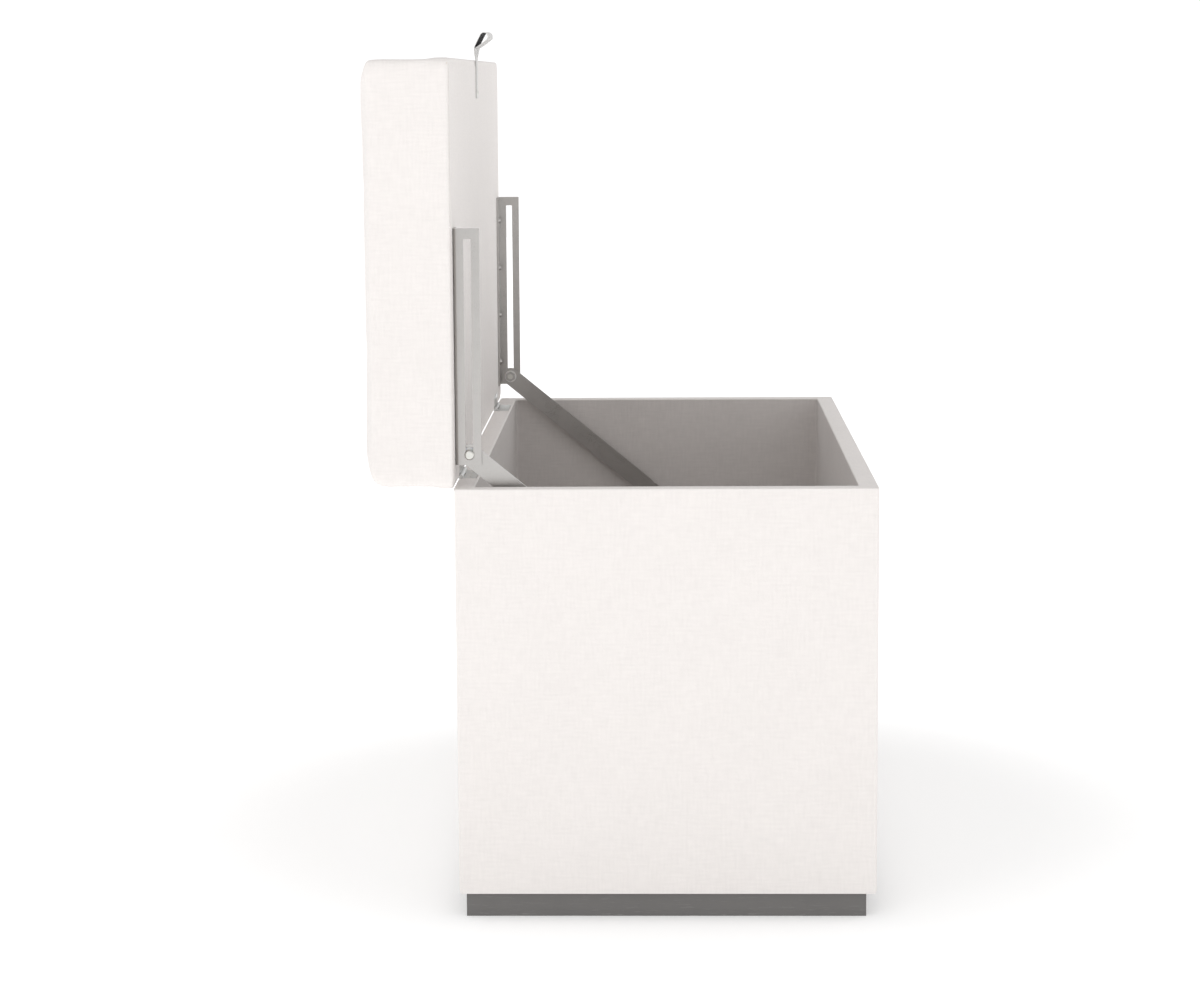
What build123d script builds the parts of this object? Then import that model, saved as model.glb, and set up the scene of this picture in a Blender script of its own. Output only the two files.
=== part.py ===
"""Upholstered storage bench with a padded lid that opens on two butt hinges and two slotted stays.

Axes: X along the bench, -Y to its front, +Y to the hinged rear, Z up.
Origin: on the floor, under the middle of the box. The lid stands open at 90 degrees.
"""

from build123d import *
import os
from math import cos, radians, sin

# ---- Driving dimensions, in millimetres ----
# Box
bench_length = 800.0
bench_depth = 400.0
box_height = 392.0
wall_board = 16.0
floor_board_thickness = 12.0
fabric = 1.2
lining = 1.2
cloth = 0.6
edge_round = 3.0
hem_overlap = 2.8
board_screw_count = 3
board_screw_margin = 60.0
floor_screw_spacing = 180.0

# Plinth
plinth_height = 24.0
plinth_board = 16.0
plinth_inset_front = 9.5
plinth_inset_rear = 6.5
plinth_inset_ends = 9.0
plinth_block = 34.0
block_recess = 3.0

# Lid
lid_overhang = 2.0
lid_thickness = 85.0
lid_board_thickness = 12.0
seat_front_round = 12.0
seat_rear_round = 18.0
seat_end_round = 9.0
lid_hem = 30.0
cloth_margin = 6.0

# Hinges
hinge_length = 60.0
hinge_inset = 79.0
hinge_leaf = 15.0
hinge_leaf_thickness = 1.2
knuckle_radius = 2.4
hinge_pin_radius = 1.25
hinge_gap = 1.0
hinge_screw_spacing = 20.0

# Slotted brackets under the lid
bracket_end = 243.5
bracket_depth = 25.0
bracket_flange = 28.0
bracket_steel = 2.0
bracket_bend = 3.0
bracket_wall_gap = 7.5
bracket_rim_gap = 1.4
slot_top_margin = 10.0
slot_corner = 0.8
bracket_screw_first = 48.0
bracket_screw_spacing = 56.0
bracket_screw_count = 4
bracket_screw_inset = 17.4

# Stay arms and their pivots
arm_slope = 39.4
arm_width = 20.0
arm_steel = 3.0
arm_reach = 256.0
arm_rim_gap = 1.0
arm_flange_gap = 1.5
arm_ratio = 1.06
arm_tail_width = 18.0
pivot_radius = 3.0
pivot_head_radius = 4.7
pivot_head_height = 2.8
pivot_head_round = 1.7
pivot_nut_radius = 5.0
pivot_nut_height = 4.5
washer_radius = 7.0
washer_thickness = 1.0

# Stud that carries the arm's curved slot
stud_radius = 3.0
stud_head_radius = 6.5
stud_head_height = 2.0
stud_boss_radius = 5.5
stud_plate_length = 38.0
stud_plate_height = 24.0
stud_plate_steel = 2.0
stud_plate_round = 4.0
stud_screw_spacing = 26.0

# Pull tab on the lid's free edge
tab_width = 18.0
tab_thickness = 1.4
tab_tail = 40.0
tab_neck = 12.0
tab_loop_length = 21.0
tab_loop_width = 9.0
tab_lean = 42.0
tack_radius = 0.8
tack_head_radius = 2.6
tack_head_height = 0.8
tack_length = 8.0
tack_spacing = 9.0
tack_margin = 6.0

# Screws: shank radius, head radius and length. A pan head's flat top and rise are shares of its radius.
board_screw = (2.0, 4.0, 45.0)
floor_screw = (1.75, 3.5, 35.0)
plinth_screw = (2.0, 4.0, 32.0)
hinge_screw = (1.5, 2.9, 11.0)
bracket_screw = (1.75, 3.8, 10.0)
stud_screw = (1.5, 2.9, 12.0)
pan_head_top = 0.7
pan_head_rise = 0.6

# Clearances
running_gap = 0.05
side_gap = 0.15
seat_gap = 0.02
slot_gap = 0.5
pocket_gap = 0.4

# ---- Worked out from the sizes above ----
half_length = bench_length / 2
half_depth = bench_depth / 2
rim = plinth_height + box_height
wall = fabric + wall_board + lining
hem_width = fabric + wall_board + hem_overlap
board_outer_x = half_length - fabric
board_outer_y = half_depth - fabric
board_inner_x = board_outer_x - wall_board
board_inner_y = board_outer_y - wall_board
inside_x = half_length - wall
inside_y = half_depth - wall
board_bottom = plinth_height + fabric
board_top = rim - lining
floor_top = board_bottom + floor_board_thickness
lid_depth = bench_depth + lid_overhang
axis_y = half_depth - hinge_gap
axis_z = rim + hinge_gap
hinge_x = half_length - hinge_inset - hinge_length / 2
bracket_x = half_length - wall - bracket_wall_gap
bracket_start = wall + bracket_rim_gap
pivot_height = wall + arm_width / 2 + arm_rim_gap
pivot_offset = bracket_steel + arm_flange_gap + arm_width / 2
slot_width = 2 * (pivot_radius + slot_gap)
arm_outer_x = bracket_x - bracket_steel - washer_thickness - side_gap
arm_middle_x = arm_outer_x - arm_steel / 2
arm_inner_x = arm_outer_x - arm_steel

# On this plane x runs from the hinge to the lid's free edge, y along the bench, z out through the seat.
lid_plane = Plane(origin=(0, half_depth, rim), x_dir=(0, 0, 1), z_dir=(0, 1, 0))
SIDES = {"left": -1, "right": 1}
HANGING = (Align.CENTER, Align.CENTER, Align.MAX)
STANDING = (Align.CENTER, Align.CENTER, Align.MIN)

os.makedirs("parts", exist_ok=True)


def save(piece, name):
    """Label a finished piece and write it as its own STEP file."""
    piece.part.label = name
    export_step(piece.part, f"parts/{name}.step")


def row(count, spacing):
    """Evenly spaced places along a line, centred on zero."""
    return [spacing * (step - (count - 1) / 2) for step in range(count)]


# ---- Screws ----
def cross_recess(shank):
    """The cross that a screwdriver fits, cut down from where the head is placed."""
    Box(2 * shank, shank / 2, shank / 2, align=HANGING, mode=Mode.SUBTRACT)
    Box(shank / 2, 2 * shank, shank / 2, align=HANGING, mode=Mode.SUBTRACT)


def screws(places, size, gap=0.0):
    """Countersunk screws, each with its head's top on a plane whose z points out of the head."""
    shank, head, length = size
    with BuildPart(*places) as group:
        Cylinder(shank + gap, length + gap, align=HANGING)
        Cone(shank + gap, head + gap, head - shank, align=HANGING)
        if gap == 0:
            cross_recess(shank)
    return group


def pan_screws(places, size, gap=0.0):
    """Pan-head screws, each with the underside of its head on a plane whose z points out of it."""
    shank, head, length = size
    with BuildPart(*places) as group:
        Cylinder(shank + gap, length + gap, align=HANGING)
        if gap == 0:
            Cone(head, head * pan_head_top, head * pan_head_rise, align=STANDING)
            with Locations((0, 0, head * pan_head_rise)):
                cross_recess(shank)
    return group


def planes_facing(points, direction, sideways):
    """A plane at each point, its z along the direction."""
    return [Plane(origin=point, x_dir=sideways, z_dir=direction) for point in points]


# ---- Where the screws go ----
board_screw_spacing = (box_height - 2 * board_screw_margin) / (board_screw_count - 1)
corner_heights = [plinth_height + box_height / 2 + step
                  for step in row(board_screw_count, board_screw_spacing)]
board_screw_places = []
for end in (-1, 1):
    for face in (-1, 1):
        spots = [(end * (board_outer_x - wall_board / 2), face * board_outer_y, height)
                 for height in corner_heights]
        board_screw_places += planes_facing(spots, (0, face, 0), (1, 0, 0))

floor_middle = board_bottom + floor_board_thickness / 2
floor_screw_places = []
for face in (-1, 1):
    spots = [(x, face * board_outer_y, floor_middle) for x in row(4, floor_screw_spacing)]
    floor_screw_places += planes_facing(spots, (0, face, 0), (1, 0, 0))
    spots = [(face * board_outer_x, y, floor_middle) for y in row(2, floor_screw_spacing)]
    floor_screw_places += planes_facing(spots, (face, 0, 0), (0, 1, 0))

plinth_y_front = half_depth - plinth_inset_front - plinth_board
plinth_y_rear = half_depth - plinth_inset_rear - plinth_board
plinth_x = half_length - plinth_inset_ends - plinth_board
block_centres = [(end * (plinth_x - plinth_block / 2), y) for end in (-1, 1)
                 for y in (plinth_block / 2 - plinth_y_front, plinth_y_rear - plinth_block / 2)]
plinth_screw_places = planes_facing([(x, y, block_recess) for x, y in block_centres], (0, 0, -1), (1, 0, 0))

leaf_screw_offset = (hinge_leaf + knuckle_radius) / 2
hinge_screw_x = [side * hinge_x + step for side in (-1, 1) for step in row(3, hinge_screw_spacing)]
base_leaf_screw_places = planes_facing(
    [(x, axis_y - leaf_screw_offset, rim) for x in hinge_screw_x], (0, 0, 1), (1, 0, 0))
lid_leaf_screw_places = planes_facing(
    [(x, half_depth, axis_z + leaf_screw_offset) for x in hinge_screw_x], (0, -1, 0), (1, 0, 0))

bracket_screw_heights = [rim + bracket_screw_first + step * bracket_screw_spacing
                         for step in range(bracket_screw_count)]
bracket_screw_places = planes_facing(
    [(side * (bracket_x - bracket_screw_inset), half_depth - bracket_steel, height)
     for side in (-1, 1) for height in bracket_screw_heights], (0, -1, 0), (1, 0, 0))


# ---- Stay geometry, worked out in the bench's cross-section ----
def turned(forward, up, degrees_closed):
    """A point of the lid, forward of and above the hinge axis, after the lid has closed by that angle."""
    cosine, sine = cos(radians(degrees_closed)), sin(radians(degrees_closed))
    return forward * cosine + up * sine, up * cosine - forward * sine


pivot_forward = pivot_offset - hinge_gap
pivot_up = pivot_height - hinge_gap
stud_forward = pivot_forward + arm_reach * cos(radians(arm_slope))
stud_up = pivot_up - arm_reach * sin(radians(arm_slope))
stud_y = axis_y - stud_forward
stud_z = axis_z + stud_up


def stud_in_arm(lid_turn):
    """The stud seen from the arm's pivot: how far along the arm, and how far towards its upper edge."""
    forward, up = turned(pivot_forward, pivot_up, lid_turn)
    slope = radians((arm_ratio - 1) * lid_turn - arm_slope)
    ahead, above = stud_forward - forward, stud_up - up
    return ahead * cos(slope) + above * sin(slope), above * cos(slope) - ahead * sin(slope)


def curved_band(half_width, steps=9):
    """Two edges at a distance from the stud's path, and the far point of each round end."""
    upper, lower = [], []
    for step in range(steps + 1):
        turn = 90 * step / steps
        here = Vector(*stud_in_arm(turn))
        ahead = (Vector(*stud_in_arm(turn + 0.5)) - Vector(*stud_in_arm(turn - 0.5))).normalized()
        across = Vector(-ahead.Y, ahead.X) * half_width
        upper.append(here + across)
        lower.append(here - across)
        if step == 0:
            first = here - ahead * half_width
        last = here + ahead * half_width
    return upper, lower, first, last


def band_outline(half_width):
    """The closed outline of that band, as edges."""
    upper, lower, first, last = curved_band(half_width)
    with BuildLine() as outline:
        Spline(*upper)
        ThreePointArc(upper[-1], last, lower[-1])
        Spline(*reversed(lower))
        ThreePointArc(lower[0], first, upper[0])
    return outline.edges()


tail_outline = band_outline(arm_tail_width / 2)
slot_outline = band_outline(stud_radius + slot_gap)

stud_screw_places = {
    side: planes_facing([(side * (inside_x - stud_plate_steel), stud_y + step, stud_z)
                         for step in row(2, stud_screw_spacing)], (-side, 0, 0), (0, 1, 0))
    for side in (-1, 1)
}

# ---- Cutting tools for the hinge pockets ----
notch = knuckle_radius + pocket_gap
with BuildPart() as base_pockets:
    for side in (-1, 1):
        with Locations((side * hinge_x, axis_y, axis_z)):
            Box(hinge_length + 2 * pocket_gap, 2 * notch, 2 * notch)
        with Locations((side * hinge_x, axis_y, rim)):
            Box(hinge_length + 2 * pocket_gap, hinge_leaf + pocket_gap, hinge_leaf_thickness,
                align=(Align.CENTER, Align.MAX, Align.MAX))

with BuildPart() as lid_pockets:
    for side in (-1, 1):
        with Locations((side * hinge_x, axis_y, axis_z)):
            Box(hinge_length + 2 * pocket_gap, 2 * notch, 2 * notch)
        with Locations((side * hinge_x, half_depth, axis_z)):
            Box(hinge_length + 2 * pocket_gap, hinge_leaf_thickness, hinge_leaf + pocket_gap,
                align=(Align.CENTER, Align.MIN, Align.MIN))


# ---- Screw solids, and the holes that they leave in what they hold ----
screw_groups = {
    "box_screws": screws(board_screw_places, board_screw),
    "floor_screws": screws(floor_screw_places, floor_screw),
    "plinth_screws": screws(plinth_screw_places, plinth_screw),
    "hinge_base_screws": screws(base_leaf_screw_places, hinge_screw),
    "hinge_lid_screws": screws(lid_leaf_screw_places, hinge_screw),
    "stay_bracket_screws": pan_screws(bracket_screw_places, bracket_screw),
    "stay_wall_screws": screws(stud_screw_places[-1] + stud_screw_places[1], stud_screw),
}
for name, group in screw_groups.items():
    save(group, name)

box_holes = screws(board_screw_places, board_screw, seat_gap)
floor_holes = screws(floor_screw_places, floor_screw, seat_gap)
plinth_holes = screws(plinth_screw_places, plinth_screw, seat_gap)
base_leaf_holes = screws(base_leaf_screw_places, hinge_screw, seat_gap)
lid_leaf_holes = screws(lid_leaf_screw_places, hinge_screw, seat_gap)
bracket_holes = pan_screws(bracket_screw_places, bracket_screw, seat_gap)
wall_holes = screws(stud_screw_places[-1] + stud_screw_places[1], stud_screw, seat_gap)


# ---- Box boards ----
def long_board(face):
    """The front (-1) or rear (1) board, its outer upright edges rounded."""
    middle = board_outer_y - wall_board / 2
    with BuildPart() as board:
        with BuildSketch(Plane.XY.offset(board_bottom)) as outline:
            with Locations((0, face * middle)):
                Rectangle(2 * board_outer_x, wall_board)
            fillet(outline.vertices().filter_by(lambda corner: face * corner.Y > middle), edge_round)
        extrude(amount=board_top - board_bottom)
        add(box_holes.part, mode=Mode.SUBTRACT)
        add(floor_holes.part, mode=Mode.SUBTRACT)
        if face > 0:
            add(base_pockets.part, mode=Mode.SUBTRACT)
            add(base_leaf_holes.part, mode=Mode.SUBTRACT)
    return board


def end_board(side):
    """The left (-1) or right (1) board, between the two long ones."""
    with BuildPart() as board:
        with BuildSketch(Plane.XY.offset(board_bottom)):
            with Locations((side * (board_outer_x - wall_board / 2), 0)):
                Rectangle(wall_board, 2 * board_inner_y)
        extrude(amount=board_top - board_bottom)
        add(box_holes.part, mode=Mode.SUBTRACT)
        add(floor_holes.part, mode=Mode.SUBTRACT)
        add(wall_holes.part, mode=Mode.SUBTRACT)
    return board


save(long_board(-1), "front_board")
save(long_board(1), "rear_board")
for name, side in SIDES.items():
    save(end_board(side), f"{name}_end_board")

with BuildPart() as floor_board:
    with BuildSketch(Plane.XY.offset(board_bottom)):
        Rectangle(2 * board_inner_x, 2 * board_inner_y)
    extrude(amount=floor_board_thickness)
    add(floor_holes.part, mode=Mode.SUBTRACT)
    add(plinth_holes.part, mode=Mode.SUBTRACT)
save(floor_board, "floor_board")

# ---- Fabric on the box ----
# The cover goes round the outside and turns in under the box as a hem.
with BuildPart() as base_hem:
    with BuildSketch(Plane.XY.offset(plinth_height)):
        RectangleRounded(bench_length, bench_depth, edge_round + fabric)
        Rectangle(bench_length - 2 * hem_width, bench_depth - 2 * hem_width, mode=Mode.SUBTRACT)
    extrude(amount=fabric)

with BuildPart() as box_cover:
    add(base_hem.part)
    with BuildSketch(Plane.XY.offset(board_bottom)):
        RectangleRounded(bench_length, bench_depth, edge_round + fabric)
        RectangleRounded(2 * board_outer_x, 2 * board_outer_y, edge_round, mode=Mode.SUBTRACT)
    extrude(amount=board_top - board_bottom)
    add(base_pockets.part, mode=Mode.SUBTRACT)
save(box_cover, "box_cover")

# The lining covers the walls inside and turns out over the rim.
with BuildPart() as box_lining:
    with BuildSketch(Plane.XY.offset(floor_top)):
        Rectangle(2 * board_inner_x, 2 * board_inner_y)
        Rectangle(2 * inside_x, 2 * inside_y, mode=Mode.SUBTRACT)
    extrude(amount=board_top - floor_top)
    with BuildSketch(Plane.XY.offset(board_top)):
        RectangleRounded(bench_length, bench_depth, edge_round + fabric)
        Rectangle(2 * inside_x, 2 * inside_y, mode=Mode.SUBTRACT)
    extrude(amount=lining)
    add(base_pockets.part, mode=Mode.SUBTRACT)
    add(wall_holes.part, mode=Mode.SUBTRACT)
save(box_lining, "box_lining")

with BuildPart() as floor_lining:
    with BuildSketch(Plane.XY.offset(floor_top)):
        Rectangle(2 * inside_x, 2 * inside_y)
    extrude(amount=lining)
save(floor_lining, "floor_lining")

# ---- Plinth ----
plinth_middle_y = (plinth_y_rear - plinth_y_front) / 2
for name, side in SIDES.items():
    with BuildPart() as plinth_end:
        with BuildSketch():
            with Locations((side * (plinth_x + plinth_board / 2), plinth_middle_y)):
                Rectangle(plinth_board, plinth_y_front + plinth_y_rear + 2 * plinth_board)
        extrude(amount=plinth_height)
    save(plinth_end, f"plinth_{name}")

for name, start in (("front", -plinth_y_front - plinth_board), ("rear", plinth_y_rear)):
    with BuildPart() as plinth_long:
        with BuildSketch():
            with Locations((0, start + plinth_board / 2)):
                Rectangle(2 * plinth_x, plinth_board)
        extrude(amount=plinth_height)
    save(plinth_long, f"plinth_{name}")

with BuildPart() as plinth_rail:
    with BuildSketch():
        with Locations((0, plinth_middle_y)):
            Rectangle(plinth_board, plinth_y_front + plinth_y_rear)
    extrude(amount=board_bottom)
    add(base_hem.part, mode=Mode.SUBTRACT)
save(plinth_rail, "plinth_rail")

with BuildPart() as plinth_blocks:
    with BuildSketch(Plane.XY.offset(block_recess)):
        with Locations(*block_centres):
            Rectangle(plinth_block, plinth_block)
    extrude(amount=board_bottom - block_recess)
    add(base_hem.part, mode=Mode.SUBTRACT)
    add(plinth_holes.part, mode=Mode.SUBTRACT)
save(plinth_blocks, "plinth_blocks")

# A thin cloth closes the box's underside inside the hem.
with BuildPart() as base_cloth:
    with BuildSketch(Plane.XY.offset(board_bottom - cloth)):
        Rectangle(bench_length - 2 * hem_width, bench_depth - 2 * hem_width)
        with Locations(*block_centres):
            Rectangle(plinth_block, plinth_block, mode=Mode.SUBTRACT)
        with Locations((0, plinth_middle_y)):
            Rectangle(plinth_board, bench_depth, mode=Mode.SUBTRACT)
    extrude(amount=cloth)
save(base_cloth, "base_cloth")


# ---- Lid ----
def lid_envelope(inset):
    """The padded slab's outer shape, drawn in by the inset on every face."""
    low, high = inset, lid_depth - inset
    top = lid_thickness - inset
    with BuildPart() as slab:
        with BuildSketch(Plane.YZ.offset(-half_length + inset)) as profile:
            with Locations((half_depth + (inset + top) / 2, rim + (low + high) / 2)):
                Rectangle(top - inset, high - low)
            rear_corner, front_corner = profile.vertices().group_by(Axis.X)[-1].sort_by(Axis.Y)
            fillet(rear_corner, seat_rear_round - inset)
            fillet(front_corner, seat_front_round - inset)
        extrude(amount=bench_length - 2 * inset)
        ends = slab.faces().sort_by(Axis.X)
        rounded = (ends[0].edges() + ends[-1].edges()).filter_by(
            lambda edge: edge.center().Y > half_depth + lid_board_thickness + 2 * fabric)
        fillet(rounded, seat_end_round - inset)
    return slab


with BuildPart() as lid_board:
    with BuildSketch(lid_plane.offset(fabric)):
        with Locations((lid_depth / 2, 0)):
            RectangleRounded(lid_depth - 2 * fabric, bench_length - 2 * fabric, seat_end_round - fabric)
    extrude(amount=lid_board_thickness)
    add(lid_pockets.part, mode=Mode.SUBTRACT)
    add(lid_leaf_holes.part, mode=Mode.SUBTRACT)
    add(bracket_holes.part, mode=Mode.SUBTRACT)

foam_start = fabric + lid_board_thickness
with BuildPart() as seat_foam:
    add(lid_envelope(fabric).part)
    with BuildSketch(lid_plane):
        with Locations((lid_depth / 2, 0)):
            Rectangle(lid_depth, bench_length)
    extrude(amount=foam_start, mode=Mode.SUBTRACT)
save(seat_foam, "seat_foam")

# The seat cover goes over the foam and turns in under the board as a hem, half under the cloth.
with BuildPart() as underside_cloth:
    with BuildSketch(lid_plane):
        with Locations((lid_depth / 2, 0)):
            Rectangle(lid_depth - 2 * cloth_margin, bench_length - 2 * cloth_margin)
    extrude(amount=fabric / 2)
    with BuildSketch(lid_plane.offset(fabric / 2)):
        with Locations((lid_depth / 2, 0)):
            Rectangle(lid_depth - 2 * lid_hem, bench_length - 2 * lid_hem)
    extrude(amount=fabric / 2)
    add(lid_pockets.part, mode=Mode.SUBTRACT)
    add(bracket_holes.part, mode=Mode.SUBTRACT)

with BuildPart() as seat_cover:
    add(lid_envelope(0).part)
    add(lid_envelope(fabric).part, mode=Mode.SUBTRACT)
    with BuildSketch(lid_plane):
        with Locations((lid_depth / 2, 0)):
            Rectangle(lid_depth - 2 * cloth_margin, bench_length - 2 * cloth_margin)
    extrude(amount=fabric / 2, mode=Mode.SUBTRACT)
    with BuildSketch(lid_plane.offset(fabric / 2)):
        with Locations((lid_depth / 2, 0)):
            Rectangle(lid_depth - 2 * lid_hem, bench_length - 2 * lid_hem)
    extrude(amount=fabric / 2, mode=Mode.SUBTRACT)
    add(lid_pockets.part, mode=Mode.SUBTRACT)
    add(bracket_holes.part, mode=Mode.SUBTRACT)

# ---- Hinges: the box leaf has the two outer knuckles, the lid leaf the middle one ----
knuckle = hinge_length / 3


def hinge_leaf_part(side, of_lid):
    """One leaf: a plate, its share of the barrel, the pin's bore and three screw holes."""
    start = side * hinge_x
    bore = hinge_pin_radius + (running_gap if of_lid else seat_gap)
    own = [0] if of_lid else [-1, 1]
    other = [-1, 1] if of_lid else [0]
    plate = (hinge_leaf_thickness, hinge_leaf) if of_lid else (hinge_leaf, hinge_leaf_thickness)
    corner = (half_depth, axis_z) if of_lid else (axis_y, rim)
    lying = (Align.MIN, Align.MIN) if of_lid else (Align.MAX, Align.MAX)
    with BuildPart() as leaf:
        with BuildSketch(Plane.YZ.offset(start - hinge_length / 2)):
            with Locations(corner):
                Rectangle(*plate, align=lying)
        extrude(amount=hinge_length)
        for place in other:
            with Locations((start + place * knuckle, axis_y, axis_z)):
                Box(knuckle + 2 * side_gap, 2 * notch, 2 * notch, mode=Mode.SUBTRACT)
        for place in own:
            with BuildSketch(Plane.YZ.offset(start + (place - 0.5) * knuckle + side_gap)):
                with Locations((axis_y, axis_z)):
                    Circle(knuckle_radius)
            extrude(amount=knuckle - 2 * side_gap)
        with BuildSketch(Plane.YZ.offset(start - hinge_length / 2)):
            with Locations((axis_y, axis_z)):
                Circle(bore)
        extrude(amount=hinge_length, mode=Mode.SUBTRACT)
        add((lid_leaf_holes if of_lid else base_leaf_holes).part, mode=Mode.SUBTRACT)
    return leaf


for name, side in SIDES.items():
    save(hinge_leaf_part(side, False), f"hinge_base_leaf_{name}")
    save(hinge_leaf_part(side, True), f"hinge_lid_leaf_{name}")
    with BuildPart() as hinge_pin:
        with BuildSketch(Plane.YZ.offset(side * hinge_x - hinge_length / 2)):
            with Locations((axis_y, axis_z)):
                Circle(hinge_pin_radius)
        extrude(amount=hinge_length)
    save(hinge_pin, f"hinge_pin_{name}")

# ---- Stays ----
slot_start = pivot_height - slot_width / 2
slot_end = bracket_end - slot_top_margin


def bracket(side):
    """Bent steel: a slotted plate that stands off the lid, and a flange screwed to its underside."""
    inward = (Align.MIN, Align.MAX) if side < 0 else (Align.MAX, Align.MAX)
    length = bracket_end - bracket_start
    with BuildPart() as steel:
        with BuildSketch(Plane.XY.offset(rim + bracket_start)) as section:
            with Locations((side * bracket_x, half_depth)):
                Rectangle(bracket_flange, bracket_steel, align=inward)
                Rectangle(bracket_steel, bracket_depth, align=inward)
            bend = section.vertices().sort_by_distance((side * bracket_x, half_depth))[0]
            fillet(bend, bracket_bend)
        extrude(amount=length)
        with BuildSketch(Plane.YZ.offset(side * bracket_x)):
            with Locations((half_depth - pivot_offset, rim + (slot_start + slot_end) / 2)):
                RectangleRounded(slot_width, slot_end - slot_start, slot_corner)
        extrude(amount=bracket_steel, both=True, mode=Mode.SUBTRACT)
        add(bracket_holes.part, mode=Mode.SUBTRACT)
    return steel


def pivot_plane(side, x):
    """A plane across the stay's pivot at that x, its z pointing away from the bench's middle."""
    return Plane(origin=(side * x, half_depth - pivot_offset, rim + pivot_height),
                 x_dir=(0, 0, 1), z_dir=(side, 0, 0))


nut_outer_x = arm_inner_x - side_gap - washer_thickness


def pivot_bolt(side):
    """A domed head outside the bracket and a plain shank through bracket, washers, arm and nut."""
    with BuildPart() as bolt:
        with BuildSketch(pivot_plane(side, bracket_x)):
            Circle(pivot_head_radius)
        extrude(amount=pivot_head_height)
        rim_edge = bolt.faces().sort_by(Axis.X)[-1 if side > 0 else 0].edges()
        fillet(rim_edge, pivot_head_round)
        with BuildSketch(pivot_plane(side, bracket_x)):
            Circle(pivot_radius)
        extrude(amount=-(bracket_x - nut_outer_x + pivot_nut_height))
    return bolt


def pivot_washers(side):
    """One washer between bracket and arm, and one between arm and nut."""
    with BuildPart() as washers:
        for x in (bracket_x - bracket_steel, arm_inner_x - side_gap):
            with BuildSketch(pivot_plane(side, x)):
                Circle(washer_radius)
                Circle(pivot_radius + seat_gap, mode=Mode.SUBTRACT)
            extrude(amount=-washer_thickness)
    return washers


def pivot_nut(side):
    """Hexagon nut on the bolt's inner end."""
    with BuildPart() as nut:
        with BuildSketch(pivot_plane(side, nut_outer_x)):
            RegularPolygon(pivot_nut_radius, 6, major_radius=False)
            Circle(pivot_radius + seat_gap, mode=Mode.SUBTRACT)
        extrude(amount=-pivot_nut_height)
    return nut


def arm(side):
    """Flat bar from the pivot, with a tail that follows its curved slot."""
    slope = radians(arm_slope)
    flat = Plane(origin=(side * arm_middle_x, half_depth - pivot_offset, rim + pivot_height),
                 x_dir=(0, -cos(slope), -sin(slope)), z_dir=(-1, 0, 0))
    straight = stud_in_arm(90)[0] - arm_tail_width / 2
    with BuildPart() as bar:
        with BuildSketch(flat):
            with Locations((straight / 2, 0)):
                SlotCenterToCenter(straight, arm_width)
            make_face(tail_outline)
            Circle(pivot_radius + running_gap, mode=Mode.SUBTRACT)
        extrude(amount=arm_steel / 2, both=True)
        with BuildSketch(flat):
            make_face(slot_outline)
        extrude(amount=arm_steel, both=True, mode=Mode.SUBTRACT)
    return bar


def stud_plane(side, x):
    """A plane across the stud at that x, its z pointing towards the bench's middle."""
    return Plane(origin=(side * x, stud_y, stud_z), x_dir=(0, 1, 0), z_dir=(-side, 0, 0))


def stud(side):
    """Shouldered stud: rivet end in the wall plate, boss, running shank and a retaining head."""
    boss_end = arm_outer_x + 2 * side_gap
    head_start = arm_inner_x - 2 * side_gap
    with BuildPart() as pin:
        with BuildSketch(stud_plane(side, inside_x)):
            Circle(stud_radius)
        extrude(amount=inside_x - head_start)
        with BuildSketch(stud_plane(side, inside_x - stud_plate_steel)):
            Circle(stud_boss_radius)
        extrude(amount=inside_x - stud_plate_steel - boss_end)
        with BuildSketch(stud_plane(side, head_start)):
            Circle(stud_head_radius)
        extrude(amount=stud_head_height)
    return pin


def stud_plate(side):
    """Wall plate of the stud, screwed to the end board through the lining."""
    with BuildPart() as plate:
        with BuildSketch(stud_plane(side, inside_x)):
            RectangleRounded(stud_plate_length, stud_plate_height, stud_plate_round)
            Circle(stud_radius + seat_gap, mode=Mode.SUBTRACT)
        extrude(amount=stud_plate_steel)
        add(wall_holes.part, mode=Mode.SUBTRACT)
    return plate


for name, side in SIDES.items():
    save(bracket(side), f"stay_bracket_{name}")
    save(pivot_bolt(side), f"stay_pivot_bolt_{name}")
    save(pivot_washers(side), f"stay_pivot_washers_{name}")
    save(pivot_nut(side), f"stay_pivot_nut_{name}")
    save(arm(side), f"stay_arm_{name}")
    save(stud(side), f"stay_stud_{name}")
    save(stud_plate(side), f"stay_wall_plate_{name}")

# ---- Pull tab: a folded strap, its tail tacked under the lid and a teardrop loop past the edge ----
tab_edge = rim + lid_depth
lean = radians(tab_lean)
loop_start = Vector(half_depth - tab_thickness / 2, tab_edge + tab_neck)
loop_ahead = Vector(-sin(lean), cos(lean))
loop_across = Vector(cos(lean), sin(lean))
loop_round = tab_loop_width / 2
loop_centre_reach = tab_loop_length - loop_round
tangent_reach = loop_centre_reach - loop_round**2 / loop_centre_reach
tangent_side = loop_round * (1 - (loop_round / loop_centre_reach) ** 2) ** 0.5
loop_sides = [loop_start + loop_ahead * tangent_reach + loop_across * tangent_side * hand
              for hand in (-1, 1)]
with BuildLine() as teardrop:
    Line(loop_start, loop_sides[0])
    ThreePointArc(loop_sides[0], loop_start + loop_ahead * tab_loop_length, loop_sides[1])
    Line(loop_sides[1], loop_start)
teardrop_edges = teardrop.edges()

tack_places = planes_facing(
    [(x, half_depth - tab_thickness, tab_edge - tab_tail + tack_margin) for x in row(2, tack_spacing)],
    (0, -1, 0), (1, 0, 0))


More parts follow.
